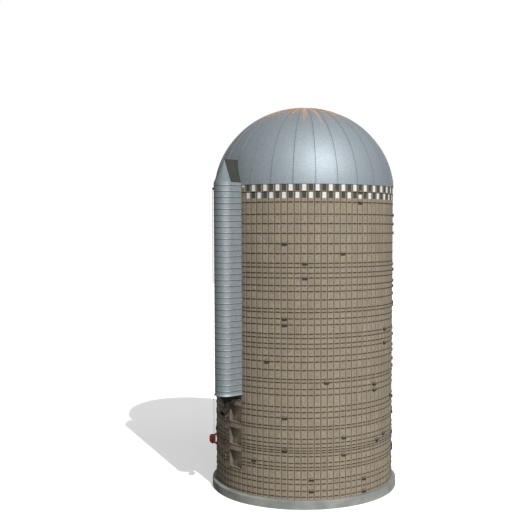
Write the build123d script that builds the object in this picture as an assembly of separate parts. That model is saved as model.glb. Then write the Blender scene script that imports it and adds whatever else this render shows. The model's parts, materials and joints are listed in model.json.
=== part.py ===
from build123d import *
import math
import os

# Concrete stave silo: a ring of flat staves held by steel hoops, with a domed
# sheet roof, a doorway of lift-out doors, an unloading chute with its hood and
# spout, and a cable winch. Origin at the middle of the foundation's underside,
# +Z up, doorway and chute on the -Y side. Millimetres.

# Wall
inside_diameter = 7315.0
stave_thickness = 63.5
stave_count = 91
doorway_staves = 3
wall_segments = 11
course_height = 762.0
course_count = 16
joint_width = 18.0
joint_depth = 12.0

# Foundation
foundation_height = 335.0
foundation_overhang = 185.0
foundation_bevel = 20.0

# Doors
first_door_height = 965.0
door_height = 665.0
strip_height = 255.0
door_set_back = 80.0
door_thickness = 40.0
door_clearance = 3.0
stile_thickness = 20.0
stile_face_width = 200.0
stile_face_thickness = 8.0
stile_margin = 3.5
stile_overrun = 40.0
stile_top_gap = 90.0
door_overlap = 20.0
sill_bar_height = 30.0
sill_bar_depth = 18.0

# Hoops and lugs
hoop_size = 20.0
hoop_doorway_gap = 4.0
lug_length = 190.0
lug_height = 120.0
lug_thickness = 46.0
rods_per_hoop = 3
lug_spacing = 112.0
lug_places = (
    87, 52, 87, 52, 134, 131, 16, 72, 136, 36, 99, 107, 72, 133, 138, 36,
    132, 120, 96, 96, 61, 135, 131, 25, 137, 108, 133, 139, 108, 36, 36, 134,
    131, 137, 133, 136, 48, 132, 138, 48, 71, 36, 134, 137, 131, 83, 83,
)
low_hoop_heights = (
    119, 354, 621, 811, 1168, 1291, 1448, 1715, 1849,
    1939, 2050, 2207, 2396, 2754, 2876, 3211, 3435, 3635,
)
middle_hoop_gaps = (234, 246, 134, 346, 324, 223, 296, 179, 223, 156)
middle_hoop_start = 4105.0
middle_hoop_link = 357.0
top_hoop_gaps = (370, 380, 390, 370, 360, 460, 390)

# Dome
eave_ring_thickness = 12.0
eave_overhang = 20.0
dome_rise = 3297.0
dome_crown_drop = 192.0
dome_sheet = 6.0
gore_count = 27
gores_per_section = 3
seam_width = 60.0
seam_rise = 5.0
cap_radius = 340.0
cap_sheet = 5.0
cap_lap = 60.0
cap_sheet_lap = 136.0
cap_bolt_radius = 30.0
cap_bolt_rise = 6.0
trim_margin = 10.0

# Chute and hood
chute_lap = 28.0
chute_straight = 500.0
chute_sheet = 4.0
chute_bottom = 4030.0
chute_sections = 9
ribs_per_section = 4
rib_height = 44.0
rib_rise = 9.0
lip_height = 75.0
lip_flare = 34.0
hood_base_above_eave = 88.0
hood_rise = 910.0
hood_sheet = 4.0
flashing_width = 110.0
flashing_sheet = 3.0
cleat_length = 52.0
cleat_height = 130.0
lowest_cleat_height = 85.0
cleat_sheet = 6.0
seat_clearance = 0.3

# Spout
spout_diameter = 256.0
spout_wall = 6.0
spout_reach = 420.0
funnel_height = 370.0
elbow_drop = 295.0
elbow_slant = 57.5
elbow_radius = 150.0
slant_length = 267.0
collar_width = 34.0
collar_thickness = 14.0

# Winch, pulley and cable
winch_stave = -10
winch_height = 1545.0
winch_plate_width = 300.0
winch_plate_height = 370.0
winch_plate_thickness = 10.0
winch_stand_off = 70.0
winch_foot_height = 44.0
cheek_thickness = 8.0
cheek_reach = 240.0
cheek_base_gap = 20.0
cheek_corner = 90.0
cheek_shoulder = 60.0
drum_radius = 48.0
drum_length = 180.0
drum_flange_radius = 92.0
drum_flange_thickness = 10.0
axle_diameter = 24.0
axle_overrun = 30.0
crank_length = 150.0
crank_width = 40.0
crank_thickness = 12.0
grip_radius = 14.0
grip_length = 100.0
cable_diameter = 14.0
cable_stand_off = 127.0
pulley_radius = 55.0
pulley_groove_depth = 15.0
pulley_width = 34.0
pulley_rim = 4.0
groove_clearance = 1.0
pulley_drop = 17.0
pulley_plate_thickness = 10.0
pulley_plate_width = 140.0
pulley_plate_height = 207.0
pulley_cheek_height = 80.0
pulley_cheek_margin = 26.0
pin_diameter = 20.0
pin_overrun = 8.0
roof_gap = 2.0
running_clearance = 0.5

# Derived sizes
inner_radius = inside_diameter / 2
outer_radius = inner_radius + stave_thickness
pitch = 360 / stave_count
half_pitch = math.radians(pitch / 2)
base_z = foundation_height
wall_height = course_height * course_count
eave_z = base_z + wall_height
staves_per_segment = (stave_count - doorway_staves) // wall_segments
doorway_edge = doorway_staves * pitch / 2
stave_face = 2 * outer_radius * math.tan(half_pitch)
door_pitch = door_height + strip_height
stile_bottom = base_z + first_door_height - stile_overrun
stile_top = eave_z - stile_top_gap
door_room = stile_top - stile_bottom - stile_overrun - door_height
door_count = 1 + math.floor(door_room / door_pitch)
rod_inner_radius = math.hypot(outer_radius, (stave_face - joint_width) / 2) + seat_clearance
roof_radius = outer_radius + eave_overhang
roof_z = eave_z + eave_ring_thickness
door_face = inner_radius - door_set_back
door_back = door_face - door_thickness
chute_half = outer_radius * math.tan(math.radians(doorway_edge)) + chute_lap
chute_foot = base_z + chute_bottom
chute_head = eave_z + hood_base_above_eave
lug_turn = math.degrees(lug_length / rod_inner_radius)
free_edge = doorway_edge + math.degrees((stile_face_width + hoop_doorway_gap) / outer_radius)
section_height = (chute_head - chute_foot) / chute_sections
funnel_foot = chute_foot - funnel_height
elbow_z = funnel_foot - elbow_drop


def polar(radius, angle):
    """Point at an angle in degrees from -Y, positive towards +X."""
    turn = math.radians(angle)
    return radius * math.sin(turn), -radius * math.cos(turn)


def on_stave(stave, along, out):
    """Plan point on a stave: along its face and out from the silo's axis."""
    turn = math.radians(stave * pitch)
    x = out * math.sin(turn) + along * math.cos(turn)
    y = -out * math.cos(turn) + along * math.sin(turn)
    return x, y


def column(points, low, high):
    """A plan outline made into a solid between two heights."""
    outline = Polyline(*[(x, y, low) for x, y in points], close=True)
    return extrude(make_face(outline), amount=high - low, dir=(0, 0, 1))


def plate(points_yz, x_low, x_high):
    """An outline in the YZ plane made into a solid between two X values."""
    outline = Polyline(*[(x_low, y, z) for y, z in points_yz], close=True)
    return extrude(make_face(outline), amount=x_high - x_low, dir=(1, 0, 0))


def box_between(low, high):
    """A box given by its lowest and highest corners."""
    size = [b - a for a, b in zip(low, high)]
    return Pos(*low) * Box(*size, align=(Align.MIN, Align.MIN, Align.MIN))


def ring_arc(outline_rz, start, angle):
    """An outline of (radius, height) points turned about the silo's axis."""
    x, y = polar(1, start)
    outline = Polyline(*[(r * x, r * y, z) for r, z in outline_rz], close=True)
    return revolve(make_face(outline), axis=Axis.Z, revolution_arc=angle)


def save(name, *solids):
    """One node as one STEP file."""
    shape = solids[0] if len(solids) == 1 else Compound(children=list(solids))
    export_step(shape, f"parts/{name}.step")


# Foundation
def foundation():
    radius = outer_radius + foundation_overhang
    disc = Cylinder(radius, foundation_height, align=(Align.CENTER, Align.CENTER, Align.MIN))
    top_edge = disc.edges().filter_by(GeomType.CIRCLE).sort_by(Axis.Z)[-1]
    return chamfer(top_edge, foundation_bevel)


# Stave wall
def stave_outline(first, count, trim=0.0):
    """Plan of some flat staves with V-shaped joints; trim takes that much off each end."""
    corner = (outer_radius - joint_depth) / math.cos(half_pitch)
    inner_corner = inner_radius / math.cos(half_pitch)
    face = (stave_face - joint_width) / 2
    start = (first - 0.5) * pitch
    end = (first + count - 0.5) * pitch
    points = []
    for stave in range(first, first + count):
        points.append(polar(corner, (stave - 0.5) * pitch))
        points.append(on_stave(stave, -face, outer_radius))
        points.append(on_stave(stave, face, outer_radius))
    points.append(polar(corner, end))
    if trim:
        outer_corner = outer_radius / math.cos(half_pitch)
        points = [shifted(outer_corner, start, trim), *points[2:-2], shifted(outer_corner, end, -trim)]
    points.append(shifted(inner_corner, end, -trim))
    for stave in range(first + count - 1, first, -1):
        points.append(polar(inner_corner, (stave - 0.5) * pitch))
    points.append(shifted(inner_corner, start, trim))
    return points


def shifted(radius, angle, offset):
    """Polar point moved sideways, parallel to the joint plane at that angle."""
    turn = math.radians(angle)
    x, y = polar(radius, angle)
    return x + offset * math.cos(turn), y + offset * math.sin(turn)


def wall_segment(index):
    first = (doorway_staves + 1) // 2 + index * staves_per_segment
    return column(stave_outline(first, staves_per_segment), base_z, eave_z)


def door_bottom(index):
    return base_z + first_door_height + index * door_pitch


def doorway_base():
    """The plain staves under the lowest door, as wide as the doorway."""
    half = doorway_staves // 2
    return column(stave_outline(-half, doorway_staves), base_z, stile_bottom)


def doorway_head():
    """The stave ends above the steel stiles."""
    half = doorway_staves // 2
    return column(stave_outline(-half, doorway_staves), stile_top, eave_z)


def doorway_panels():
    """Stave strips between the door openings, held between the stiles."""
    half = doorway_staves // 2
    outline = stave_outline(-half, doorway_staves, stile_thickness)
    levels = [stile_bottom]
    for index in range(door_count):
        levels += [door_bottom(index), door_bottom(index) + door_height]
    levels.append(stile_top)
    return [column(outline, low, high) for low, high in zip(levels[::2], levels[1::2])]


# Doorway steel
def stile(side):
    """Angle section: a web in the wall's thickness and a leg on the next stave's face."""
    edge = doorway_edge
    back = door_back - stile_margin
    next_stave = doorway_staves // 2 + 1
    joint = -stave_face / 2
    front = outer_radius + stile_face_thickness
    points = [
        shifted(back, edge, -stile_thickness),
        polar(back, edge),
        polar(outer_radius / math.cos(half_pitch), edge),
        on_stave(next_stave, joint + stile_face_width, outer_radius),
        on_stave(next_stave, joint + stile_face_width, front),
        shifted(front / math.cos(half_pitch), edge, 0),
        shifted(front / math.cos(half_pitch), edge, -stile_thickness),
    ]
    points = [(side * x, y) for x, y in points]
    return column(points, stile_bottom, stile_top)


def opening_half(y_out):
    """Half the clear width between the stiles at a distance out from the axis."""
    turn = math.radians(doorway_edge)
    return y_out * math.tan(turn) - stile_thickness / math.cos(turn)


def door(index):
    """A lift-out door, tapered to sit between the stiles."""
    wide = opening_half(door_face) - door_clearance
    narrow = opening_half(door_back) - door_clearance
    points = [(-wide, -door_face), (wide, -door_face), (narrow, -door_back), (-narrow, -door_back)]
    low = door_bottom(index) - door_overlap + seat_clearance
    high = door_bottom(index) + door_height + door_overlap - door_clearance
    return column(points, low, high)


def rail(low, high):
    """A cross bar behind the strips that joins the two stiles between two doors."""
    front = inner_radius / math.cos(half_pitch) * math.cos(math.radians(doorway_edge)) - seat_clearance
    wide = opening_half(front)
    narrow = opening_half(door_back)
    points = [(-wide, -front), (wide, -front), (narrow, -door_back), (-narrow, -door_back)]
    return column(points, low, high)


def door_rails():
    bars = [rail(stile_bottom, door_bottom(0) - door_overlap)]
    for index in range(door_count):
        low = door_bottom(index) + door_height + door_overlap
        high = door_bottom(index + 1) - door_overlap if index < door_count - 1 else stile_top
        bars.append(rail(low, high))
    return bars


def sill_bars():
    """Square bars across the doorway on the edges of each strip; inside the chute they serve as rungs."""
    half = opening_half(outer_radius) - door_clearance
    back = outer_radius + seat_clearance
    bars = []
    for index in range(door_count):
        for level in (door_bottom(index) - sill_bar_height, door_bottom(index) + door_height):
            corner = (half, -back, level + sill_bar_height)
            bars.append(box_between((-half, -back - sill_bar_depth, level), corner))
    return bars


# Hoops
def hoop_heights():
    gaps = (*middle_hoop_gaps, middle_hoop_link, *middle_hoop_gaps, *top_hoop_gaps)
    heights = [*low_hoop_heights, middle_hoop_start]
    for gap in gaps:
        heights.append(heights[-1] + gap)
    return [base_z + height for height in heights]


def lug_angles(index):
    """Middles of a hoop's lugs, kept clear of the doorway."""
    low = free_edge + lug_turn
    first = max(low, lug_places[index % len(lug_places)])
    step = min(lug_spacing, (360 - low - first) / (rods_per_hoop - 1))
    return [first + rod * step for rod in range(rods_per_hoop)]


def hoop_rods(index, height):
    """One hoop: rods of square section set on edge, between lugs and clear of the doorway."""
    half = hoop_size / 2
    middle = rod_inner_radius + half
    section = [
        (middle - half, height),
        (middle, height - half),
        (middle + half, height),
        (middle, height + half),
    ]
    places = lug_angles(index)
    full_turn = 360
    rods = []
    for place, following in zip(places, [*places[1:], places[0] + full_turn]):
        start = place + lug_turn / 2
        end = following - lug_turn / 2
        if end > full_turn and height > stile_bottom:
            rods.append(ring_arc(section, start, full_turn - free_edge - start))
            start = full_turn + free_edge
        rods.append(ring_arc(section, start, end - start))
    return rods


def hoop_ends(height):
    """The two ends of a hoop that is cut by the doorway: square rod laid over the stiles' legs."""
    stave = doorway_staves // 2 + 1
    edge = -stave_face / 2
    far = edge + stile_face_width
    near = edge + hoop_doorway_gap
    if height > chute_foot - lip_height - hoop_size:
        near = cleat_end + hoop_doorway_gap
    side = hoop_size * math.sqrt(0.5)
    out = outer_radius + stile_face_thickness + seat_clearance + hoop_size / 2
    ends = []
    for hand in (1, -1):
        middle = hand * (near + far) / 2
        rod = Pos(middle, -out, height) * Rot(45, 0, 0) * Box(far - near, side, side)
        ends.append(Rot(0, 0, hand * stave * pitch) * rod)
    return ends


def hoop_lugs(index, height):
    """The cast blocks that join the rods of one hoop."""
    low, high = height - lug_height / 2, height + lug_height / 2
    inner = rod_inner_radius
    outer = inner + lug_thickness
    lugs = []
    for middle in lug_angles(index):
        block = box_between((-lug_length / 2, -outer, low), (lug_length / 2, -inner, high))
        lugs.append(Rot(0, 0, middle) * block)
    return lugs


# Dome
crown_z = roof_z + dome_rise
dome_centre_z = roof_z - dome_crown_drop
dome_height = crown_z - dome_centre_z
dome_base_angle = math.asin(dome_crown_drop / dome_height)
dome_width = roof_radius / math.cos(dome_base_angle)


def meridian_face(inner, outer, high, start, low_z):
    """The sheet's section between two offsets, up to the radius high on top."""
    x, y = polar(1, start)

    def curve(offset):
        a, b = dome_width + offset, dome_height + offset
        plane = Plane(origin=(0, 0, dome_centre_z), x_dir=(x, y, 0), z_dir=(y, -x, 0))
        first = math.degrees(math.asin((low_z - dome_centre_z) / b))
        last = math.degrees(math.acos(high / a))
        return plane * EllipticalCenterArc((0, 0), a, b, first, arc_size=last - first)

    outside = curve(outer)
    inside = curve(inner)
    ends = [Line(outside @ 0, inside @ 0), Line(outside @ 1, inside @ 1)]
    return make_face([outside, inside, *ends])


def dome_section(index):
    """Neighbouring gores of roof sheet with the lap of each seam standing proud."""
    turn = 360 / gore_count
    start = index * turn * gores_per_section
    sheet = revolve(
        meridian_face(-dome_sheet, 0, cap_radius - cap_sheet_lap, start, roof_z),
        axis=Axis.Z,
        revolution_arc=turn * gores_per_section,
    )
    seams = [seam_lap(start + gore * turn, start + gore * turn < 1) for gore in range(gores_per_section)]
    return sheet.fuse(*seams)


def seam_lap(angle, under_hood):
    """The lapped edge of a gore: a narrow band of the dome on one side of the seam."""
    low_z = chute_head + hood_rise + flashing_width if under_hood else roof_z
    band = revolve(
        meridian_face(-dome_sheet / 2, seam_rise, cap_radius - cap_lap, angle, low_z),
        axis=Axis.Z,
        revolution_arc=360 / gore_count / 2,
    )
    reach = dome_width + seam_rise + trim_margin
    top = crown_z + seam_rise + trim_margin
    knife = box_between((0, -reach, low_z - trim_margin), (seam_width, 0, top))
    return band & (Rot(0, 0, angle) * knife)


def dome_cap():
    """The plate that closes the crown over the ends of the gores, with its middle bolt."""
    low = seam_rise + seat_clearance
    face = meridian_face(low, low + cap_sheet, cap_bolt_radius / 2, 0, roof_z)
    shell = revolve(face, axis=Axis.Z, revolution_arc=360)
    plate = shell & (Pos(0, 0, crown_z) * Cylinder(cap_radius, dome_rise))
    bolt = Cylinder(cap_bolt_radius, cap_sheet + cap_bolt_rise, align=(Align.CENTER, Align.CENTER, Align.MIN))
    return plate + Pos(0, 0, crown_z + low) * bolt


def eave_ring():
    """Flat ring on the wall's top that carries the dome."""
    inner = inner_radius / math.cos(half_pitch)
    section = [(inner, eave_z), (roof_radius, eave_z), (roof_radius, roof_z), (inner, roof_z)]
    return ring_arc(section, 0, 360)


def roof_envelope(offset):
    """The dome and its eave ring as one solid, used to trim what seats on them."""
    x, y = polar(1, 0)
    a, b = dome_width + offset, dome_height + offset
    plane = Plane(origin=(0, 0, dome_centre_z), x_dir=(x, y, 0), z_dir=(y, -x, 0))
    low_z = eave_z - offset
    first = math.degrees(math.asin((low_z - dome_centre_z) / b))
    arc = plane * EllipticalCenterArc((0, 0), a, b, first, arc_size=90 - first)
    foot = Line(arc @ 0, (0, 0, low_z))
    axis = Line((0, 0, low_z), arc @ 1)
    dome = revolve(make_face([arc, foot, axis]), axis=Axis.Z, revolution_arc=360)
    rim = Pos(0, 0, low_z) * Cylinder(
        roof_radius + offset,
        eave_ring_thickness + 2 * offset,
        align=(Align.CENTER, Align.CENTER, Align.MIN),
    )
    return dome + rim


# Chute
def stile_seat(x):
    """How far out from the axis the stile's face is at a distance x from the middle."""
    turn = math.radians((doorway_staves // 2 + 1) * pitch)
    return (outer_radius + stile_face_thickness - x * math.sin(turn)) / math.cos(turn)


stile_corner = (outer_radius + stile_face_thickness) / math.cos(half_pitch)
stile_front = -shifted(stile_corner, doorway_edge, -stile_thickness)[1]
chute_seat = stile_seat(chute_half - chute_sheet) + seat_clearance
chute_centre = chute_seat + chute_straight


def chute_path(z, half):
    """The chute's U in plan: straight, half round, straight."""
    side_in = Line((-half, -chute_seat, z), (-half, -chute_centre, z))
    bend = ThreePointArc((-half, -chute_centre, z), (0, -chute_centre - half, z), (half, -chute_centre, z))
    side_out = Line((half, -chute_centre, z), (half, -chute_seat, z))
    return Wire([side_in, bend, side_out])


def chute_sweep(outline):
    """A section of (out from the sheet's inner face, height) points swept round the U."""
    half = chute_half - chute_sheet
    points = [(-half - out, -chute_seat, z) for out, z in outline]
    low_z = points[0][2]
    return sweep(make_face(Polyline(*points, close=True)), path=chute_path(low_z, half))


def chute_section(index):
    """One length of ribbed chute sheet."""
    low = chute_foot + index * section_height
    high = low + section_height
    spacing = section_height / ribs_per_section
    outline = [(0, low), (chute_sheet, low)]
    for rib in range(ribs_per_section):
        middle = low + (rib + 0.5) * spacing
        outline.append((chute_sheet, middle - rib_height / 2))
        outline.append((chute_sheet + rib_rise, middle))
        outline.append((chute_sheet, middle + rib_height / 2))
    outline += [(chute_sheet, high), (0, high)]
    return chute_sweep(outline)


def chute_lip():
    """The flared skirt at the foot of the chute."""
    low = chute_foot - lip_height
    outline = [(0, chute_foot), (chute_sheet, chute_foot), (chute_sheet + lip_flare, low), (lip_flare, low)]
    return chute_sweep(outline)


cleat_turn = math.radians((doorway_staves // 2 + 1) * pitch)
cleat_front = outer_radius + stile_face_thickness
cleat_start = (chute_half + seat_clearance) / math.cos(cleat_turn) - cleat_front * math.tan(cleat_turn)
cleat_end = cleat_start + cleat_length


def cleat(middle, height, side):
    """Angle cleat that fastens the chute's edge to the stile."""
    stave = doorway_staves // 2 + 1
    turn = cleat_turn
    foot_x = chute_half + seat_clearance
    inner = on_stave(stave, cleat_start, cleat_front)
    points = [
        inner,
        on_stave(stave, cleat_end, cleat_front),
        on_stave(stave, cleat_end, cleat_front + cleat_sheet),
        (foot_x + cleat_sheet, -stile_seat(foot_x + cleat_sheet) - cleat_sheet / math.cos(turn)),
        (foot_x + cleat_sheet, inner[1] - cleat_length),
        (foot_x, inner[1] - cleat_length),
    ]
    points = [(side * x, y) for x, y in points]
    return column(points, middle - height / 2, middle + height / 2)


def chute_cleats():
    places = [(chute_foot + lowest_cleat_height / 2, lowest_cleat_height)]
    for index in range(1, chute_sections):
        places.append((chute_foot + index * section_height, cleat_height))
    return [cleat(middle, height, side) for middle, height in places for side in (-1, 1)]


# Hood
def roof_profile(thick, low):
    """The hood's inverted V in the XZ plane, with its sheet thickness inwards."""
    slope = math.hypot(chute_half, hood_rise)
    across = thick * slope / hood_rise
    down = thick * slope / chute_half
    peak = chute_head + hood_rise
    return [
        (-chute_half, low),
        (0, peak),
        (chute_half, low),
        (chute_half - across, low),
        (0, peak - down),
        (-chute_half + across, low),
    ]


def hood_roof():
    """The two steep slopes from the dome out to the round nose."""
    points = [(x, -chute_centre, z) for x, z in roof_profile(hood_sheet, chute_head)]
    sheet = extrude(make_face(Polyline(*points, close=True)), amount=chute_centre, dir=(0, 1, 0))
    return sheet - roof_envelope(seat_clearance)


def hood_nose():
    """Half cone over the round part of the chute."""
    slope = math.hypot(chute_half, hood_rise)
    across = hood_sheet * slope / hood_rise
    down = hood_sheet * slope / chute_half
    peak = chute_head + hood_rise
    points = [(-chute_half, chute_head), (0, peak), (0, peak - down), (-chute_half + across, chute_head)]
    face = make_face(Polyline(*[(x, -chute_centre, z) for x, z in points], close=True))
    return revolve(face, axis=Axis((0, -chute_centre, 0), (0, 0, 1)), revolution_arc=180)


def hood_flashing():
    """Sheet strip laid over the hood's slopes where they meet the dome."""
    grow = flashing_sheet
    slope = math.hypot(chute_half, hood_rise)
    across = grow * slope / hood_rise
    down = grow * slope / chute_half
    peak = chute_head + hood_rise
    outer = [(-chute_half - across, chute_head), (0, peak + down), (chute_half + across, chute_head)]
    inner = [(chute_half, chute_head), (0, peak), (-chute_half, chute_head)]
    points = [(x, -chute_centre, z) for x, z in outer + inner]
    sheet = extrude(make_face(Polyline(*points, close=True)), amount=chute_centre, dir=(0, 1, 0))
    near = sheet & roof_envelope(flashing_width)
    return near - roof_envelope(seat_clearance)


# Spout
def funnel_wire(half, back, z):
    """Four edges: back, side, half round, side."""
    return Wire([
        Line((-half, -back, z), (half, -back, z)),
        Line((half, -back, z), (half, -chute_centre, z)),
        ThreePointArc((half, -chute_centre, z), (0, -chute_centre - half, z), (-half, -chute_centre, z)),
        Line((-half, -chute_centre, z), (-half, -back, z)),
    ])


def round_wire(radius, centre_y, z):
    """A circle cut into four arcs that face the funnel's four edges."""
    corners = (135, 45, -20, -160)
    middles = (90, 12.5, -90, 167.5)

    def at(angle):
        turn = math.radians(angle)
        return radius * math.cos(turn), centre_y + radius * math.sin(turn), z

    arcs = []
    for index, middle in enumerate(middles):
        arcs.append(ThreePointArc(at(corners[index]), at(middle), at(corners[(index + 1) % 4])))
    return Wire(arcs)


spout_y = -(outer_radius + spout_reach)


def funnel():
    """Sheet hopper under the chute that gathers to the round spout."""
    half = chute_half - chute_sheet - seat_clearance
    back = stile_front + seat_clearance
    top = chute_foot
    bottom = funnel_foot
    radius = spout_diameter / 2

    def body(shrink):
        upper = funnel_wire(half - shrink, back + shrink, top)
        lower = round_wire(radius - shrink, spout_y, bottom)
        return Solid.make_loft([upper, lower], ruled=True)

    outer = radius + collar_width
    collar = Cylinder(outer, collar_thickness, align=(Align.CENTER, Align.CENTER, Align.MIN))
    ring = Pos(0, spout_y, bottom) * collar
    return (body(0) + ring) - body(spout_wall)


def spout():
    """Round pipe with a mitred bend, pointing down and away from the silo."""
    radius = spout_diameter / 2
    slant = math.radians(elbow_slant)
    top = (0, spout_y, funnel_foot)
    corner = (0, spout_y, elbow_z)
    end = (0, spout_y - slant_length * math.sin(slant), elbow_z - slant_length * math.cos(slant))
    path = FilletPolyline(top, corner, end, radius=elbow_radius)
    ring = Plane(origin=top, z_dir=(0, 0, -1)) * (Circle(radius) - Circle(radius - spout_wall))
    return sweep(ring, path=path)


# Winch and pulley
def placed(shape):
    """Moves a shape built at stave 0 round to the winch's stave."""
    return Rot(0, 0, winch_stave * pitch) * shape


winch_z = base_z + winch_height
plate_back = outer_radius + winch_stand_off
plate_front = plate_back + winch_plate_thickness
cable_out = outer_radius + cable_stand_off
drum_out = cable_out + cable_diameter / 2 + seat_clearance + drum_radius
cheek_inner = drum_length / 2 + drum_flange_thickness + running_clearance


def between_hoops(level, height):
    """The level nearest to the wanted one where a piece of some height passes between two hoops."""
    margin = hoop_size / 2 + height / 2 + seat_clearance
    levels = hoop_heights()
    free = [(low + margin, high - margin) for low, high in zip(levels, levels[1:]) if high - low > 2 * margin]
    return min((min(max(level, low), high) for low, high in free), key=lambda place: abs(place - level))


def winch_bracket():
    """Two feet on the staves, between hoops, and the plate that carries the winch."""
    half = winch_plate_width / 2
    low = winch_z - winch_plate_height / 2
    high = winch_z + winch_plate_height / 2
    solid = box_between((-half, -plate_front, low), (half, -plate_back, high))
    foot_half = (stave_face - joint_width) / 2
    for wanted in (low, high):
        level = between_hoops(wanted, winch_foot_height)
        bottom, top = level - winch_foot_height / 2, level + winch_foot_height / 2
        solid += box_between((-foot_half, -plate_front, bottom), (foot_half, -outer_radius, top))
    return placed(solid)


def winch_frame():
    """Two cheeks that hold the drum's axle."""
    low = winch_z - winch_plate_height / 2 + cheek_base_gap
    high = winch_z + winch_plate_height / 2
    reach = plate_front + cheek_reach
    outline = [
        (-plate_front, low),
        (-plate_front, high),
        (-reach + cheek_shoulder, high),
        (-reach, high - cheek_shoulder),
        (-reach, low + cheek_corner),
        (-reach + cheek_corner, low),
    ]
    hole = Cylinder(axle_diameter / 2 + running_clearance, 2 * cheek_inner + 4 * cheek_thickness)
    bore = Pos(0, -drum_out, winch_z) * Rot(0, 90, 0) * hole
    spans = ((-cheek_inner - cheek_thickness, -cheek_inner), (cheek_inner, cheek_inner + cheek_thickness))
    return [placed(plate(outline, x_low, x_high) - bore) for x_low, x_high in spans]


def winch_drum():
    """Drum, its flanges, axle and crank in one turning piece."""
    drum = Cylinder(drum_radius, drum_length)
    flange = Cylinder(drum_flange_radius, drum_flange_thickness)
    for side in (-1, 1):
        drum += Pos(0, 0, side * (drum_length + drum_flange_thickness) / 2) * flange
    axle_length = 2 * (cheek_inner + cheek_thickness + axle_overrun)
    drum += Cylinder(axle_diameter / 2, axle_length)
    arm_z = axle_length / 2 - crank_thickness
    drum += Pos(crank_length / 2, 0, arm_z) * Box(crank_length + crank_width, crank_width, crank_thickness)
    drum += Pos(crank_length, 0, arm_z + grip_length / 2) * Cylinder(grip_radius, grip_length)
    return placed(Pos(0, -drum_out, winch_z) * Rot(0, 90, 0) * drum)


pulley_z = eave_z - pulley_drop
groove_radius = pulley_radius - pulley_groove_depth
pulley_out = outer_radius + cable_stand_off - cable_diameter / 2 - seat_clearance - groove_radius


def pulley_wheel():
    """Grooved sheave with its pin."""
    half = pulley_width / 2
    floor = cable_diameter / 2 + groove_clearance
    outline = [
        (0, -half),
        (pulley_radius, -half),
        (pulley_radius, -half + pulley_rim),
        (groove_radius, -floor),
        (groove_radius, floor),
        (pulley_radius, half - pulley_rim),
        (pulley_radius, half),
        (0, half),
    ]
    face = make_face(Polyline(*[(r, 0, z) for r, z in outline], close=True))
    wheel = revolve(face, axis=Axis.Z, revolution_arc=360)
    pin_length = pulley_width + 2 * (pulley_plate_thickness + running_clearance + pin_overrun)
    pin = Cylinder(pin_diameter / 2, pin_length)
    return placed(Pos(0, -pulley_out, pulley_z) * Rot(0, 90, 0) * (wheel + pin))


def pulley_bracket():
    """Wall plate with two cheeks for the sheave's pin."""
    half = pulley_width / 2 + running_clearance
    thick = pulley_plate_thickness
    high = eave_z - seat_clearance
    low = high - pulley_plate_height
    back = pulley_plate_width / 2
    solid = box_between((-back, -outer_radius - thick, low), (back, -outer_radius, high))
    inner = outer_radius + thick
    reach = pulley_out + pulley_cheek_margin
    roof_side = roof_radius + seam_rise + roof_gap
    outline = [
        (-inner, low),
        (-inner, high),
        (-roof_side, high),
        (-roof_side, pulley_z + pulley_cheek_height / 2),
        (-reach, pulley_z + pulley_cheek_height / 2),
        (-reach, pulley_z - pulley_cheek_height / 2),
    ]
    for x_low in (-half - thick, half):
        solid += plate(outline, x_low, x_low + thick)
    hole = Cylinder(pin_diameter / 2 + running_clearance, 2 * pulley_width + 4 * thick)
    solid -= Pos(0, -pulley_out, pulley_z) * Rot(0, 90, 0) * hole
    return placed(solid)


def cable():
    """Taut wire rope: up from the drum, a quarter turn over the sheave, and in to the roof's edge."""
    out = cable_out
    wrap = groove_radius + cable_diameter / 2 + seat_clearance
    start = (0, -out, winch_z)
    tangent = (0, -out, pulley_z)
    middle = (0, -pulley_out - wrap * math.sqrt(0.5), pulley_z + wrap * math.sqrt(0.5))
    top = (0, -pulley_out, pulley_z + wrap)
    reach = dome_reach(pulley_z + wrap - cable_diameter / 2) + seam_rise + seat_clearance
    tail = Line(top, (0, -reach, pulley_z + wrap))
    path = Wire([Line(start, tangent), ThreePointArc(tangent, middle, top), tail])
    ring = Plane(origin=start, z_dir=(0, 0, 1)) * Circle(cable_diameter / 2)
    return placed(sweep(ring, path=path))


def dome_reach(z):
    """How far out the dome's skin is at a height."""
    rise = (z - dome_centre_z) / dome_height
    return dome_width * math.sqrt(1 - rise * rise)


os.makedirs("parts", exist_ok=True)
save("foundation", foundation())
for number in range(wall_segments):
    save(f"wall_segment_{number + 1:02d}", wall_segment(number))
save("doorway_ends", doorway_base(), doorway_head())
save("doorway_strips", *doorway_panels())
save("door_stiles", stile(-1), stile(1))
save("door_rails", *door_rails())
save("door_panels", *[door(index) for index in range(door_count)])
save("door_sill_bars", *sill_bars())
levels = hoop_heights()
thirds = ("lower", "middle", "upper")
share = math.ceil(len(levels) / len(thirds))
for number, third in enumerate(thirds):
    rods = []
    for index in range(number * share, min((number + 1) * share, len(levels))):
        rods += hoop_rods(index, levels[index])
    save(f"hoops_{third}", *rods)
lugs = []
ends = []
for number, level in enumerate(levels):
    lugs += hoop_lugs(number, level)
    if level > stile_bottom:
        ends += hoop_ends(level)
save("hoop_lugs", *lugs)
save("hoop_ends", *ends)
save("eave_ring", eave_ring())
for number in range(gore_count // gores_per_section):
    save(f"dome_gores_{number + 1}", dome_section(number))
save("dome_cap", dome_cap())
roof_cut = roof_envelope(seat_clearance)
chute_lengths = [chute_section(number) for number in range(chute_sections)]
chute_lengths[-1] = chute_lengths[-1] - roof_cut
share = math.ceil(chute_sections / len(thirds))
for number, third in enumerate(thirds):
    save(f"chute_{third}", *chute_lengths[number * share:(number + 1) * share])
save("chute_lip", chute_lip())
save("chute_cleats", *chute_cleats())
save("hood_slopes", hood_roof())
save("hood_nose", hood_nose())
save("hood_flashing", hood_flashing())
save("spout_funnel", funnel())
save("spout_pipe", spout())
save("winch_bracket", winch_bracket())
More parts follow.
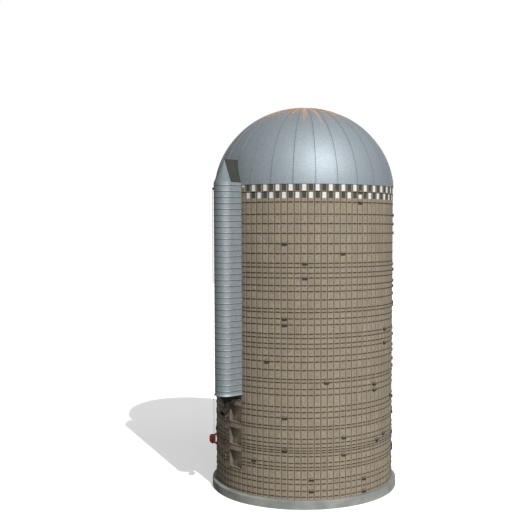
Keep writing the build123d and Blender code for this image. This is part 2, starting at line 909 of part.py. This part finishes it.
save("winch_frame", *winch_frame())
save("winch_drum", winch_drum())
save("pulley_bracket", pulley_bracket())
save("pulley_wheel", pulley_wheel())
save("winch_cable", cable())
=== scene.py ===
import json
import math
from collections import namedtuple

import bmesh
import bpy
from mathutils import Matrix, Vector


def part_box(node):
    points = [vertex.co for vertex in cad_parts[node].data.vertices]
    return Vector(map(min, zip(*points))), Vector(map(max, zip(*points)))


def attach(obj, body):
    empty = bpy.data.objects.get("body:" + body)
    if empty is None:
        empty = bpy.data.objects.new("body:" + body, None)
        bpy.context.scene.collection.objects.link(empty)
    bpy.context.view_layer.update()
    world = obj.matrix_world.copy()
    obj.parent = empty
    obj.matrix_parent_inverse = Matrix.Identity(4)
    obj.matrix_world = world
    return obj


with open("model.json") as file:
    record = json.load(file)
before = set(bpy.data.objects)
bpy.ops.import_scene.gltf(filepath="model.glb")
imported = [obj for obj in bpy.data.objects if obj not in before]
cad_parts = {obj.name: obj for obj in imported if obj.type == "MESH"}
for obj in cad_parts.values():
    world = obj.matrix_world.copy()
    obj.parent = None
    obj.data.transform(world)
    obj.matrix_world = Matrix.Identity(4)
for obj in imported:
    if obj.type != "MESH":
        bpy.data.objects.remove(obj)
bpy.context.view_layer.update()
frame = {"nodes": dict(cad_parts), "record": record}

# The wall, in metres: its staves and their courses, the doorway, and the foundation under it with how
# far down from its top the rust flakes lie
STAVES = 91
PITCH = 2 * math.pi / STAVES
STAVE_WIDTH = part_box("wall_segment_06")[1][1] * PITCH
COURSE = 0.762
DOORWAY_STAVES = 3
DOORWAY_HALF = 0.384
PAD_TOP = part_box("foundation")[1][2]
FLAKE_DROP = 0.060

# The painted courses: the foot and the top of each row above the foundation, and 0 where the odd staves
# are dark or 1 where the even ones are; then half the width of a white panel, half that of a dark one,
# and half that of the lines that quarter the white
PAINTED_ROWS = ((11.934, 12.200, 0.0), (11.655, 11.890, 1.0))
WHITE_HALF = 0.068
DARK_HALF = 0.084
QUARTER_LINE = 0.010

# The hoops: the side of a rod, where the lugs begin, and, measured down from the top of a hoop, the
# reach of the painted shadow band under it and of a lug's lower half painted as shade
HOOP_NODES = ("hoops_lower", "hoops_middle", "hoops_upper")
HOOP_SIDE = 0.020
LUG_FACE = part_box("hoop_lugs")[1][1] - HOOP_SIDE
HOOP_SHADOW_BAND = (HOOP_SIDE * 1.4, HOOP_SIDE * 1.4 + 0.030)
LUG_SHADE = (0.004, 0.072)

# The dome: its gores with their laps, the cap, and the skin, which is the upper part of an ellipsoid
# whose middle lies a little below the roof's foot
GORES = 27
GORE_PITCH = 2 * math.pi / GORES
LAP = 0.060
CAP_REACH = 0.30
CAP_RISE = 0.0163
ROOF_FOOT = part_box("eave_ring")[1][2]
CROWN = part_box("dome_cap")[1][2]
DOME_DROP = 0.192
DOME_HEIGHT = CROWN - ROOF_FOOT + DOME_DROP - CAP_RISE
DOME_FOOT = math.asin(DOME_DROP / DOME_HEIGHT)
DOME_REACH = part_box("eave_ring")[1][0] / math.cos(DOME_FOOT)

# What the hood covers of the dome: half its width, and its top, measured down from the crown
HOOD_HALF = 0.45
HOOD_DROP = 2.1

# The rust on the dome: how often the streaks and their threads change in a radian, where they start,
# and the shortest and the longest streak
STREAK_FINENESS = 7.0
THREAD_FINENESS = 24.0
STREAK_START = 7.7
STREAK_LENGTHS = (1.50, 3.20)

# The chute: its ribs, and how far the underside of a rib lies below the rib's middle
CHUTE_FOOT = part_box("chute_lower")[0][2]
CHUTE_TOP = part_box("chute_upper")[1][2]
CHUTE_RIBS = 36
RIB_SPACING = (CHUTE_TOP - CHUTE_FOOT) / CHUTE_RIBS
RIB_UNDERSIDE = 0.016

# How metallic and how rough the sheets are, first where the zinc is clean and then where it is dull
ROOF_METAL = (0.45, 0.0)
ROOF_ROUGH = (0.60, 0.9)
CHUTE_METAL = (0.55, 0.15)
CHUTE_ROUGH = (0.62, 0.75)

# One turn of the cable's strands, as drawn
CABLE_LAY = 0.235

# The camera: the photograph's place, fitted to the silo's outlines
PHOTO_WIDTH = 512
SENSOR_MM = 36.0
CAMERA_AZIMUTH = math.radians(47.4)
CAMERA_DISTANCE = 36.387
CAMERA_HEIGHT = PAD_TOP + 10.419
CAMERA_PITCH = 0.0656
CAMERA_YAW = 0.0024
FOCAL_PX = 858.76
CENTRE_PX = (302.0, 287.0)
FAR_END = 400

# Each lamp: its strength; the width of its light, its turn to the right of the camera and its height,
# in degrees; and whether it glints. The one behind only lifts the shade, with no glints on the metal's rim
LAMPS = (
    ("sun", 4.4, 0.6, 25.5, 40, True),
    ("fill", 1.4, 80, 22, 28, True),
    ("back_fill", 1.4, 40, 180, 28, False),
)
FLOOR_RADIUS = 140

# Settings of the nodes that are used most
SMOOTH = {"interpolation_type": "SMOOTHSTEP"}
COLOURS = {"data_type": "RGBA"}
PLUS = {"operation": "ADD"}
MINUS = {"operation": "SUBTRACT"}
TIMES = {"operation": "MULTIPLY"}
PER = {"operation": "DIVIDE"}
SIZE = {"operation": "ABSOLUTE"}
ABOVE = {"operation": "GREATER_THAN"}
BELOW = {"operation": "LESS_THAN"}

WallPlace = namedtuple("WallPlace", "z number across radius angle")


def colour(text):
    """An sRGB hex value as linear red, green, blue and alpha."""
    parts = [int(text[i : i + 2], 16) / 255 for i in (1, 3, 5)]
    linear = [p / 12.92 if p <= 0.04045 else ((p + 0.055) / 1.055) ** 2.4 for p in parts]
    return (*linear, 1.0)


def add(tree, kind, *inputs, named=None, out=None, **settings):
    """Adds one node with its settings and links, and gives back its first output or the one asked for.

    The inputs come in the order in which the node shows them, or by name. Each is a number, a hex
    colour or the output that feeds it.
    """
    made = tree.nodes.new("ShaderNode" + kind)
    for name, value in settings.items():
        setattr(made, name, value)
    fed = list(zip([socket for socket in made.inputs if socket.enabled], inputs))
    fed += [(made.inputs[name], value) for name, value in (named or {}).items()]
    for socket, value in fed:
        if isinstance(value, bpy.types.NodeSocket):
            tree.links.new(value, socket)
        else:
            socket.default_value = colour(value) if isinstance(value, str) else value
    outputs = [socket for socket in made.outputs if socket.enabled and out in (None, socket.name)]
    return outputs[0] if outputs else made


def blank_material(name, **shader):
    """A material with a principled shader and the place on the object, in metres."""
    made = bpy.data.materials.new(name)
    made.use_nodes = True
    tree = made.node_tree
    tree.nodes.clear()
    shine = add(tree, "BsdfPrincipled", named=shader)
    add(tree, "OutputMaterial", shine)
    return made, tree, shine.node, add(tree, "TexCoord", out="Object")


def lay(tree, under, over, *shares):
    """Lays one colour over another, by the product of one or more shares."""
    share = shares[0]
    for other in shares[1:]:
        share = add(tree, "Math", share, other, **TIMES)
    return add(tree, "Mix", share, under, over, **COLOURS)


def coat(tree, under, over, value, low, high, at_low=0.0, at_high=1.0):
    """Lays one colour over another; its share runs smoothly from at_low to at_high as a value rises."""
    return lay(tree, under, over, add(tree, "MapRange", value, low, high, at_low, at_high, **SMOOTH))


def grain(tree, place, size_mm, detail, stretch=(1, 1, 1)):
    """Noise whose patches are about size_mm across."""
    scaled = add(tree, "Mapping", place, named={"Scale": stretch})
    return add(tree, "TexNoise", scaled, 1000 / size_mm, detail)


def dress(tree, surface, base, height, depth_mm, strength=1.0):
    """Gives the shader its colour, and a bump of a real depth."""
    tree.links.new(base, surface.inputs["Base Color"])
    bump = add(tree, "Bump", strength, depth_mm / 1000, named={"Height": height})
    tree.links.new(bump, surface.inputs["Normal"])


def tarnish(tree, surface, share, metal, rough):
    """Takes the sheet from clean to dull by a share; each pair is the value when clean and when dull."""
    for socket, (clean, dull) in (("Metallic", metal), ("Roughness", rough)):
        value = add(tree, "MapRange", share, 0.0, 1.0, clean, dull, **SMOOTH)
        tree.links.new(value, surface.inputs[socket])


def between(tree, value, low, high):
    """1 inside two limits and 0 outside."""
    above = add(tree, "Math", value, low, **ABOVE)
    below = add(tree, "Math", value, high, **BELOW)
    return add(tree, "Math", above, below, **TIMES)


def distance(tree, value, middle):
    """How far a value lies from a middle, to either side."""
    return add(tree, "Math", add(tree, "Math", value, middle, **MINUS), **SIZE)


def wall_places(tree, place):
    """Height, stave number, place across the stave in metres, distance from the axis, and angle."""
    x, y, z = add(tree, "SeparateXYZ", place).node.outputs
    angle = add(tree, "Math", x, add(tree, "Math", y, -1.0, **TIMES), operation="ARCTAN2")
    turns = add(tree, "Math", angle, PITCH, **PER)
    number = add(tree, "Math", turns, operation="ROUND")
    across = add(tree, "Math", add(tree, "Math", turns, number, **MINUS), STAVE_WIDTH, **TIMES)
    squares = [add(tree, "Math", side, side, **TIMES) for side in (x, y)]
    radius = add(tree, "Math", add(tree, "Math", *squares, **PLUS), operation="SQRT")
    return WallPlace(z, number, across, radius, angle)


def from_joint(tree, across):
    """Distance from the nearest upright joint, in metres."""
    return add(tree, "Math", STAVE_WIDTH / 2, add(tree, "Math", across, **SIZE), **MINUS)


def hoop_heights():
    """The height of every hoop, read off its highest points."""
    tops = set()
    for node in HOOP_NODES:
        levels = sorted({round(v.co.z, 3) for v in frame["nodes"][node].data.vertices})
        above = [*levels[1:], levels[-1] + 1]
        tops.update(z for z, after in zip(levels, above) if after - z > HOOP_SIDE * 2)
    return sorted(tops)


HOOP_TOPS = hoop_heights()


def under_hoops(tree, z, near, far):
    """1 between two depths below the top of any hoop and 0 elsewhere."""
    found = 0.0
    for top in HOOP_TOPS:
        found = add(tree, "Math", found, between(tree, z, top - far, top - near), **PLUS)
    return found


def stave_concrete():
    """Vibrated concrete staves: a sandy, matt face, darker in the joints, with two painted courses."""
    made, tree, surface, place = blank_material("stave_concrete", Roughness=0.92, IOR=1.5)
    at = wall_places(tree, place)
    height = add(tree, "Math", at.z, PAD_TOP, **MINUS)
    # Staves in neighbouring columns are set half a course apart, and each has a tone of its own
    odd = add(tree, "Math", at.number, 2.0, operation="FLOORED_MODULO")
    half = add(tree, "Math", odd, 0.5, **TIMES)
    courses = add(tree, "Math", add(tree, "Math", height, COURSE, **PER), half, **PLUS)
    course = add(tree, "Math", courses, operation="FLOOR")
    tone = add(tree, "TexWhiteNoise", add(tree, "CombineXYZ", at.number, course))
    # The sand grain is a few millimetres; drawn ten times coarser so that it shows in the render
    speckle = grain(tree, place, 42, 3.0)
    cloud = grain(tree, place, 420, 3.0, (1, 1, 0.5))
    base = coat(tree, "#6F6454", "#8B7F6C", speckle, 0.36, 0.64)
    base = lay(tree, base, "#6B6256", tone, 0.45)
    base = coat(tree, base, "#5F574B", cloud, 0.5, 0.75, 0.0, 0.28)
    # Each stave is paler along its edges: wear, and a painted highlight where the rounded edges catch the
    # light
    edge = from_joint(tree, at.across)
    base = coat(tree, base, "#A59883", edge, 0.040, 0.070, 0.22, 0.0)
    # Dirt gathers in the bed joints and in the upright ones, with less of it in the doorway's column
    doorway = add(tree, "Math", add(tree, "Math", at.angle, **SIZE), DOORWAY_STAVES / 2 * PITCH, **BELOW)
    dirt = add(tree, "MapRange", edge, 0.010, 0.040, 1.0, 0.0, **SMOOTH)
    most = add(tree, "MapRange", doorway, 0.0, 1.0, 0.62, 0.35, **SMOOTH)
    base = lay(tree, base, "#3A342C", dirt, most)
    bed = add(tree, "Math", courses, 0.5, operation="PINGPONG")
    base = coat(tree, base, "#463F35", bed, 0.0, 0.012, 0.35, 0.0)
    # Painted shadow: a narrow dark band under each hoop, on the face of each stave outside the doorway
    hoop_shadow = under_hoops(tree, at.z, *HOOP_SHADOW_BAND)
    face = add(tree, "Math", edge, 0.045, **ABOVE)
    most = add(tree, "MapRange", doorway, 0.0, 1.0, 0.85, 0.0, **SMOOTH)
    base = lay(tree, base, "#554D41", hoop_shadow, face, most)
    # Painted panels on the two top courses, white and dark by turns
    off_middle = add(tree, "Math", at.across, **SIZE)
    for low, high, shift in PAINTED_ROWS:
        turn = add(tree, "Math", at.number, shift, **PLUS)
        dark = add(tree, "Math", turn, 2.0, operation="FLOORED_MODULO")
        half_width = add(tree, "MapRange", dark, 0.0, 1.0, WHITE_HALF, DARK_HALF, **SMOOTH)
        panel = add(tree, "Math", off_middle, half_width, **BELOW)
        # A faint line quarters each white panel
        upright = add(tree, "MapRange", off_middle, 0.0, QUARTER_LINE, 0.5, 0.0, **SMOOTH)
        off_level = distance(tree, height, (low + high) / 2)
        level = add(tree, "MapRange", off_level, 0.0, QUARTER_LINE, 0.5, 0.0, **SMOOTH)
        quarters = add(tree, "Math", upright, level, operation="MAXIMUM")
        paint = lay(tree, lay(tree, "#BFC3C4", "#8E9292", quarters), "#34352F", dark)
        base = lay(tree, base, paint, panel, between(tree, height, low, high))
    # Each stave's face rounds off towards its joints
    rounding = add(tree, "MapRange", edge, 0.0, 0.050, **SMOOTH)
    sand = add(tree, "Math", grain(tree, place, 12, 4.0), speckle, **PLUS)
    sand = add(tree, "Math", sand, 0.16, **TIMES)
    dress(tree, surface, base, add(tree, "Math", rounding, sand, **PLUS), 14.0)
    return made


def foundation_concrete():
    """Cast concrete: smooth grey-green faces with trowel clouds and pits."""
    made, tree, surface, place = blank_material("foundation_concrete", Roughness=0.9, IOR=1.5)
    # The pits are a few millimetres; drawn ten times coarser so that they show in the render
    pits = grain(tree, place, 40, 3.0)
    base = coat(tree, "#6E716C", "#82847F", grain(tree, place, 700, 4.0), 0.35, 0.65)
    base = coat(tree, base, "#5E625E", pits, 0.52, 0.70, 0.0, 0.35)
    # Flakes of rust from the hoops lie on the top and just over its edge
    flakes = add(tree, "MapRange", grain(tree, place, 55, 1.0), 0.70, 0.74, **SMOOTH)
    top = add(tree, "Math", add(tree, "SeparateXYZ", place, out="Z"), PAD_TOP - FLAKE_DROP, **ABOVE)
    base = lay(tree, base, "#9A6238", flakes, top)
    dress(tree, surface, base, pits, 4.0, 0.5)
    return made


def hoop_steel():
    """Hot-rolled hoop rod gone brown-black with weather and darkened further as painted shadow; the cast
    lugs that join it stay browner.
    """
    made, tree, surface, place = blank_material("hoop_steel", Metallic=0.35, Roughness=0.68)
    at = wall_places(tree, place)
    mottle = grain(tree, place, 60, 3.0)
    # The rod's near-black is partly painted shadow, standing for the rod's shadow on the stave faces
    rod = coat(tree, "#15120F", "#231E18", mottle, 0.35, 0.65)
    # Where a rod bridges a joint it stands clear of the wall and is paler: the rod's shadow is painted
    # only over the stave faces
    rod = coat(tree, rod, "#7E7463", from_joint(tree, at.across), 0.028, 0.052, 0.85, 0.0)
    # Painted shade: the lower half of each lug is darkened as shade, below its lighter upper half
    casting = coat(tree, "#6A6053", "#7A6F60", mottle, 0.35, 0.65)
    casting = lay(tree, casting, "#1E1A16", under_hoops(tree, at.z, *LUG_SHADE), 0.9)
    base = lay(tree, rod, casting, add(tree, "Math", at.radius, LUG_FACE, **ABOVE))
    dress(tree, surface, base, grain(tree, place, 8, 2.0), 0.8, 0.5)
    return made


def zinc(tree, place, light, dark):
    """Hot-dip zinc: its soft spangle, about 15 mm across, drawn six times coarser so that it shows."""
    base = coat(tree, dark, light, grain(tree, place, 90, 3.0), 0.35, 0.65)
    return coat(tree, base, dark, grain(tree, place, 900, 3.0), 0.4, 0.7, 0.0, 0.25)


def streaks(tree, angle, fineness):
    """Noise that changes only round the dome, so that it runs down it in streaks."""
    turn = add(tree, "Math", add(tree, "Math", angle, fineness, **TIMES), STREAK_START, **PLUS)
    return add(tree, "TexNoise", turn, 1.0, 2.0, noise_dimensions="1D")


def roof_sheet():
    """Galvanised roof gores, dull grey-blue, with dark laps and rust run down from the crown."""
    clean = {"Metallic": ROOF_METAL[0], "Roughness": ROOF_ROUGH[0]}
    made, tree, surface, place = blank_material("roof_sheet", **clean)
    at = wall_places(tree, place)
    base = zinc(tree, place, "#879095", "#80898E")
    gores = add(tree, "Math", at.angle, 1 / GORE_PITCH, **TIMES)
    gore = add(tree, "Math", gores, operation="FLOOR")
    base = lay(tree, base, "#7B8388", add(tree, "TexWhiteNoise", gore, noise_dimensions="1D"), 0.15)
    # A dark line runs along the free edge of each lap, up to the cap
    off = add(tree, "Math", gores, add(tree, "Math", gores, operation="ROUND"), **MINUS)
    width = add(tree, "Math", at.radius, GORE_PITCH, **TIMES)
    from_edge = distance(tree, add(tree, "Math", off, width, **TIMES), LAP)
    lap = add(tree, "MapRange", from_edge, 0.006, 0.022, 0.55, 0.0, **SMOOTH)
    lap = add(tree, "Math", lap, add(tree, "Math", at.radius, CAP_REACH, **ABOVE), **TIMES)
    base = lay(tree, base, "#3C4244", lap)
    # Rust streaks: each has its own length down the dome, and breaks up towards its end
    reach = streaks(tree, at.angle, STREAK_FINENESS)
    thread = streaks(tree, at.angle, THREAD_FINENESS)
    length = add(tree, "MapRange", reach, 0.34, 0.64, *STREAK_LENGTHS, **SMOOTH)
    patch = grain(tree, place, 160, 4.0)
    run = add(tree, "Math", at.radius, length, **PER)
    fade = add(tree, "MapRange", run, 0.35, 1.0, 0.9, 0.0, **SMOOTH)
    cover = add(tree, "Math", thread, add(tree, "Math", patch, 0.4, **TIMES), **PLUS)
    cover = add(tree, "Math", cover, add(tree, "Math", run, 0.24, **TIMES), **MINUS)
    rust = add(tree, "Math", fade, add(tree, "MapRange", cover, 0.44, 0.60, **SMOOTH), **TIMES)
    base = lay(tree, base, coat(tree, "#A26A38", "#BE8446", patch, 0.4, 0.6), rust)
    tarnish(tree, surface, add(tree, "Math", rust, lap, operation="MAXIMUM"), ROOF_METAL, ROOF_ROUGH)
    dress(tree, surface, base, grain(tree, place, 300, 2.0), 1.0, 0.3)
    return made


def chute_sheet():
    """Galvanised ribbed sheet, a little brighter than the roof, with painted shade along each rib's
    underside.
    """
    clean = {"Metallic": CHUTE_METAL[0], "Roughness": CHUTE_ROUGH[0]}
    made, tree, surface, place = blank_material("chute_sheet", **clean)
    base = zinc(tree, place, "#858E92", "#7B8488")
    z = add(tree, "SeparateXYZ", place, out="Z")
    height = add(tree, "Math", z, CHUTE_FOOT, **MINUS)
    # Painted shade: a grey band along the underside of each rib, below the chute's top
    rung = add(tree, "Math", height, RIB_SPACING, operation="FLOORED_MODULO")
    off = distance(tree, rung, RIB_SPACING / 2 - RIB_UNDERSIDE)
    rib_shade = add(tree, "MapRange", off, 0.010, 0.030, 0.75, 0.0, **SMOOTH)
    base = lay(tree, base, "#5A5F5A", rib_shade, add(tree, "Math", z, CHUTE_TOP, **BELOW))
    # The hood's nose is painted darker than the chute as painted shade, toning down its glint, and its
    # zinc is duller
    nose = add(tree, "Math", z, CHUTE_TOP + 0.010, **ABOVE)
    base = lay(tree, base, "#545E62", nose, 0.75)
    tarnish(tree, surface, nose, CHUTE_METAL, CHUTE_ROUGH)
    dress(tree, surface, base, grain(tree, place, 180, 2.0), 1.0, 0.4)
    return made


def worn_paint(name, light, dark, roughness, size_mm=120, metallic=0.0):
    """A weathered coat on steel: patchy and dull, with faint marks where the rain runs down."""
    made, tree, surface, place = blank_material(name, Roughness=roughness, Metallic=metallic, IOR=1.5)
    base = coat(tree, dark, light, grain(tree, place, size_mm, 4.0), 0.38, 0.64)
    base = coat(tree, base, dark, grain(tree, place, 60, 2.0, (1, 1, 0.12)), 0.55, 0.75, 0.0, 0.3)
    dress(tree, surface, base, grain(tree, place, 10, 3.0), 0.5, 0.4)
    return made


def door_steel():
    """Angle-steel stiles under grey-brown paint; inside the doorway they are darker."""
    made, tree, surface, place = blank_material("door_steel", Roughness=0.8, IOR=1.5)
    off_middle = add(tree, "Math", add(tree, "SeparateXYZ", place, out="X"), **SIZE)
    inside = add(tree, "Math", off_middle, DOORWAY_HALF, **BELOW)
    mottle = grain(tree, place, 110, 4.0)
    leg = coat(tree, "#655A4D", "#776B5D", mottle, 0.36, 0.66)
    doorway_coat = coat(tree, "#554E43", "#645C4F", mottle, 0.36, 0.66)
    dress(tree, surface, lay(tree, leg, doorway_coat, inside), grain(tree, place, 10, 3.0), 0.6, 0.4)
    return made


def door_board():
    """Weathered door boards: grey-brown, with grain laid on the slant."""
    made, tree, surface, place = blank_material("door_board", Roughness=0.85, IOR=1.5)
    turned = add(tree, "Mapping", place, named={"Rotation": (0, math.radians(38), 0)})
    # Grain lines are 2 to 3 mm wide; drawn ten times coarser so that they show in the render
    fibre = grain(tree, turned, 30, 4.0, (0.12, 1, 1))
    base = coat(tree, "#7B7060", "#958877", fibre, 0.38, 0.62)
    # Painted shade: the boards are darkened towards their left side, where the sun falls into the opening
    base = coat(tree, base, "#433D34", add(tree, "SeparateXYZ", place, out="X"), -0.25, 0.12, 0.70, 0.0)
    dress(tree, surface, base, fibre, 2.0, 0.5)
    return made


def cable_wire():
    """Bare steel wire rope; its strands catch the light by turns, drawn far coarser than the real lay."""
    made, tree, surface, place = blank_material("cable_wire", Metallic=0.4, Roughness=0.5)
    turn = add(tree, "Math", add(tree, "SeparateXYZ", place, out="Z"), CABLE_LAY / 2, operation="PINGPONG")
    base = coat(tree, "#E6E6E4", "#30302E", turn, CABLE_LAY * 0.08, CABLE_LAY * 0.12)
    tree.links.new(base, surface.inputs["Base Color"])
    return made


FINISHES = {
    "foundation_concrete": foundation_concrete(),
    "stave_concrete": stave_concrete(),
    "hoop_steel": hoop_steel(),
    "roof_sheet": roof_sheet(),
    "chute_sheet": chute_sheet(),
    # Olive-green oil paint brushed on the hood's sheet: dark, flat, and even from a distance
    "hood_paint": worn_paint("hood_paint", "#25271E", "#1F2118", 0.75, 400),
    "door_steel": door_steel(),
    "door_board": door_board(),
    # Dark paint on the spout, nearly black and matt, darkened further as painted shade for the shade under
    # the chute's lip
    "spout_steel": worn_paint("spout_steel", "#0C0C0A", "#070706", 0.85),
    # Enamel on the winch and the pulley, red and still half glossy, with the drum in black
    "winch_paint": worn_paint("winch_paint", "#B23C3A", "#93302E", 0.45),
    "winch_black": worn_paint("winch_black", "#1E1E1E", "#121212", 0.5),
    "cable_wire": cable_wire(),
}

for part in frame["record"]["subparts"]:
    mesh = frame["nodes"][part["node"]].data
    mesh.materials.clear()
    mesh.materials.append(FINISHES[part["material_slot"]])


def polar(radius, angle, z):
    """A point at an angle in radians from -Y, positive towards +X."""
    return Vector((radius * math.sin(angle), -radius * math.cos(angle), z))


def put(name, data):
    """Puts an object in the scene."""
    made = bpy.data.objects.new(name, data)
    bpy.context.scene.collection.objects.link(made)
    return made


def put_mesh(name, bm, finish):
    """Puts a mesh in one finish in the scene."""
    mesh = bpy.data.meshes.new(name)
    bm.to_mesh(mesh)
    bm.free()
    mesh.materials.append(finish)
    return put(name, mesh)


def new_piece(name, bm, finish):
    """A joined mesh that rides on the silo."""
    piece = put_mesh(name, bm, finish)
    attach(piece, "root")


def dome_place(share, angle, lift=0.0):
    """A point on the dome's skin or over it, and its outward direction; share runs from foot to crown."""
    turn = DOME_FOOT + share * (math.pi / 2 - DOME_FOOT)
    normal = Vector((math.cos(turn) / DOME_REACH, math.sin(turn) / DOME_HEIGHT)).normalized()
    radius = DOME_REACH * math.cos(turn) + lift * normal.x
    z = ROOF_FOOT - DOME_DROP + DOME_HEIGHT * math.sin(turn) + lift * normal.y
    return polar(radius, angle, z), polar(normal.x, angle, normal.y)


def under_hood(point, margin=0.0):
    """Whether the hood covers a point of the dome."""
    return abs(point.x) < HOOD_HALF + margin and point.y < 0 and point.z < CROWN - HOOD_DROP


def seam_ribs():
    """The turned-up edge of the upper sheet along every seam: it stands proud and catches the light."""
    steps = 24
    first_share, last_share = 0.012, 0.90
    half_width = 0.007
    rise = 0.014
    lift = 0.004
    sunk = 0.006
    bm = bmesh.new()
    for gore in range(GORES):
        rows = []
        for step in range(steps + 1):
            share = first_share + step * (last_share - first_share) / steps
            radius = dome_place(share, 0.0, lift)[0].xy.length
            angle = gore * GORE_PITCH + LAP / radius
            centre, out = dome_place(share, angle, lift)
            side = Vector((math.cos(angle), math.sin(angle), 0)) * half_width
            foot = centre - out * sunk
            rows.append([bm.verts.new(v) for v in (foot - side, centre + out * rise, foot + side)])
        shown = [not under_hood(row[1].co, 0.01) for row in rows]
        for (a, b, c), (d, e, f), first, second in zip(rows, rows[1:], shown, shown[1:]):
            if first and second:
                bm.faces.new((a, b, e, d))
                bm.faces.new((b, c, f, e))
                bm.faces.new((c, a, d, f))
    # The points under the hood go, and the ends of each rib are closed
    bmesh.ops.delete(bm, geom=[v for v in bm.verts if not v.link_faces], context="VERTS")
    bmesh.ops.holes_fill(bm, edges=[e for e in bm.edges if e.is_boundary], sides=3)
    bmesh.ops.recalc_face_normals(bm, faces=bm.faces[:])
    new_piece("seam_ribs", bm, FINISHES["roof_sheet"])


def seam_bolts():
    """Domed bolt heads along the lap of every seam."""
    bolts = 40
    first_share, share_step = 0.015, 0.0215
    from_seam = 0.036
    lift = 0.005
    sunk = 0.006
    head_radius = 0.022
    head_rise = 0.012
    crown_part = 0.6
    corners = [corner * math.pi / 3 for corner in range(6)]
    ring = [Vector((head_radius * math.cos(a), head_radius * math.sin(a), 0)) for a in corners]
    bm = bmesh.new()
    for gore in range(GORES):
        for step in range(bolts):
            share = first_share + step * share_step
            radius = dome_place(share, 0.0)[0].xy.length
            centre, out = dome_place(share, gore * GORE_PITCH + from_seam / radius, lift)
            if under_hood(centre):
                continue
            turn = out.to_track_quat("Z", "Y").to_matrix().to_4x4()
            crown = Vector((0, 0, head_rise))
            low = [bm.verts.new(centre + turn @ v - out * sunk) for v in ring]
            high = [bm.verts.new(centre + turn @ (v * crown_part + crown)) for v in ring]
            for a, b, c, d in zip(low, low[1:] + low[:1], high[1:] + high[:1], high):
                bm.faces.new((a, b, c, d))
            bm.faces.new(high)
            bm.faces.new(low[::-1])
    # Zinc-plated heads stay brighter than the sheet that they hold
    finish = worn_paint("bolt_zinc", "#A4ABAF", "#8F969A", 0.45, 60, 0.45)
    new_piece("seam_bolts", bm, finish)


seam_bolts()
seam_ribs()


def floor():
    """Plain pale floor."""
    made = bpy.data.materials.new("floor")
    made.use_nodes = True
    tree = made.node_tree
    tree.nodes.clear()
    # The camera sees a pale studio floor with a light shadow; the silo gets no more light back from it
    # than from dull ground
    pale = add(tree, "BsdfDiffuse", "#DDDDDC")
    glow = add(tree, "Emission", named={"Strength": 0.30})
    dull = add(tree, "BsdfDiffuse", "#888887")
    seen = add(tree, "LightPath", out="Is Camera Ray")
    add(tree, "OutputMaterial", add(tree, "MixShader", seen, dull, add(tree, "AddShader", pale, glow)))
    bm = bmesh.new()
    bmesh.ops.create_circle(bm, cap_ends=True, segments=64, radius=FLOOR_RADIUS)
    piece = put_mesh("floor", bm, made)


floor()


def camera():
    """The photograph's camera."""
    data = bpy.data.cameras.new("camera")
    data.sensor_width = SENSOR_MM
    data.lens = FOCAL_PX / PHOTO_WIDTH * SENSOR_MM
    data.shift_x = (PHOTO_WIDTH / 2 - CENTRE_PX[0]) / PHOTO_WIDTH
    data.shift_y = (CENTRE_PX[1] - PHOTO_WIDTH / 2) / PHOTO_WIDTH
    data.clip_end = FAR_END
    made = put("camera", data)
    around = Matrix.Rotation(CAMERA_AZIMUTH, 4, "Z")
    spot = Matrix.Translation((0, -CAMERA_DISTANCE, CAMERA_HEIGHT))
    aim = Matrix.Rotation(CAMERA_YAW, 4, "Z") @ Matrix.Rotation(math.pi / 2 - CAMERA_PITCH, 4, "X")
    made.matrix_world = around @ spot @ aim
    bpy.context.scene.camera = made


def lights():
    """A clear sun from the right of the camera, a broad soft fill, a weak one behind and a pale sky."""
    for name, energy, width, turn, height, glints in LAMPS:
        data = bpy.data.lights.new(name, "SUN")
        data.energy = energy
        data.angle = math.radians(width)
        made = put(name, data)
        made.visible_glossy = glints
        up = math.radians(height)
        towards = polar(math.cos(up), CAMERA_AZIMUTH + math.radians(turn), math.sin(up))
        made.rotation_euler = towards.to_track_quat("Z", "Y").to_euler()
    world = bpy.data.worlds.new("sky")
    world.use_nodes = True
    tree = world.node_tree
    tree.nodes.clear()
    # The sky lights the silo softly; behind it the backdrop is plain white
    sky = add(tree, "Background", "#FBFDFF", 0.16)
    backdrop = add(tree, "Background", "#FFFFFF", 1.0)
    seen = add(tree, "LightPath", out="Is Camera Ray")
    add(tree, "OutputWorld", add(tree, "MixShader", seen, sky, backdrop))
    bpy.context.scene.world = world
    bpy.context.scene.view_settings.view_transform = "Standard"


camera()
lights()
